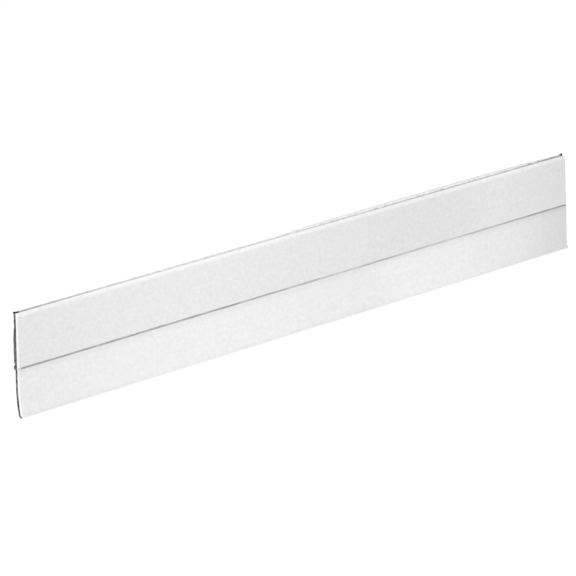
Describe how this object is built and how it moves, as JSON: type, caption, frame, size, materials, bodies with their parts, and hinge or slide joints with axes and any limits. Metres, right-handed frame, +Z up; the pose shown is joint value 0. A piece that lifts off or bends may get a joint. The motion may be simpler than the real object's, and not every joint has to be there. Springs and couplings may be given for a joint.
{
  "type": "door sweep",
  "caption": "Self-adhesive door sweep: a flat rigid vinyl carrier with a flexible fin hung along its lower edge, foam tape and a release liner on its back.",
  "frame": {"origin": "centre of the adhesive band's rear face, where the strip lies against the door", "axes": "+X along the strip, +Y out of the back into the door, +Z up; the white face looks towards -Y"},
  "size_m": [0.9144, 0.0033, 0.0517],
  "materials": {
    "rigid_vinyl": "white extruded rigid vinyl, satin",
    "flexible_vinyl": "white flexible vinyl, soft satin",
    "foam": "light grey closed-cell foam with adhesive on both faces",
    "liner_paper": "pale silicone-coated release paper"
  },
  "bodies": {
    "carrier": {"carrier_strip": "rigid_vinyl", "foam_tape": "foam", "release_liner": "liner_paper"},
    "fin": {"sweep_fin": "flexible_vinyl"},
    "peel": {"liner_lead": "liner_paper"}
  },
  "joints": [
    {"name": "fin_flex", "type": "hinge", "parent": "carrier", "child": "fin", "pos_m": [0, -0.00112, -0.0149], "axis": [1, 0, 0], "range_deg": [-35, 45], "stiffness_Nm_per_rad": 0.2},
    {"name": "liner_peel", "type": "hinge", "parent": "carrier", "child": "peel", "pos_m": [-0.3572, 0, 0], "axis": [0, 0, -1], "range_deg": [0, 150]}
  ]
}
